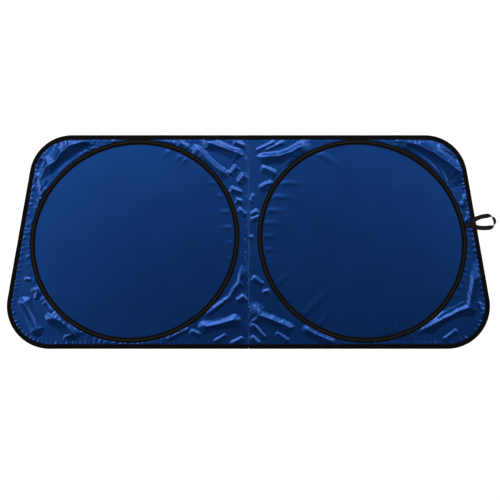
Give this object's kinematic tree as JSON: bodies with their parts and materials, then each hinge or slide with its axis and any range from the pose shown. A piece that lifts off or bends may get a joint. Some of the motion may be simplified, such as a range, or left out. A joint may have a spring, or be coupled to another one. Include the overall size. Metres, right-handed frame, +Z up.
{
  "type": "windscreen sunshade",
  "caption": "Pop-up windscreen sunshade lying open: shiny cloth in two halves, each sprung by a wire hoop, with a bound edge and an elastic loop.",
  "frame": {"origin": "underside of the centre seam, at the middle of the shade's height", "axes": "+X across the shade to the side with the elastic loop, +Y to the narrower top edge, +Z up out of the face with the hoop tapes"},
  "size_m": [1.5204, 0.6638, 0.014],
  "materials": {
    "coated_cloth": "satin blue coated cloth",
    "hoop_tape": "black woven tape",
    "binding_tape": "black woven tape",
    "elastic": "black ribbed elastic",
    "spring_wire": "bright spring steel"
  },
  "bodies": {
    "root": {"left_panel": "coated_cloth", "right_panel": "coated_cloth", "left_hoop_tape": "hoop_tape", "right_hoop_tape": "hoop_tape", "left_hoop_wire": "spring_wire", "right_hoop_wire": "spring_wire", "left_hoop_ferrule": "spring_wire", "right_hoop_ferrule": "spring_wire", "edge_binding": "binding_tape", "strap_loop": "elastic"}
  },
  "joints": []
}
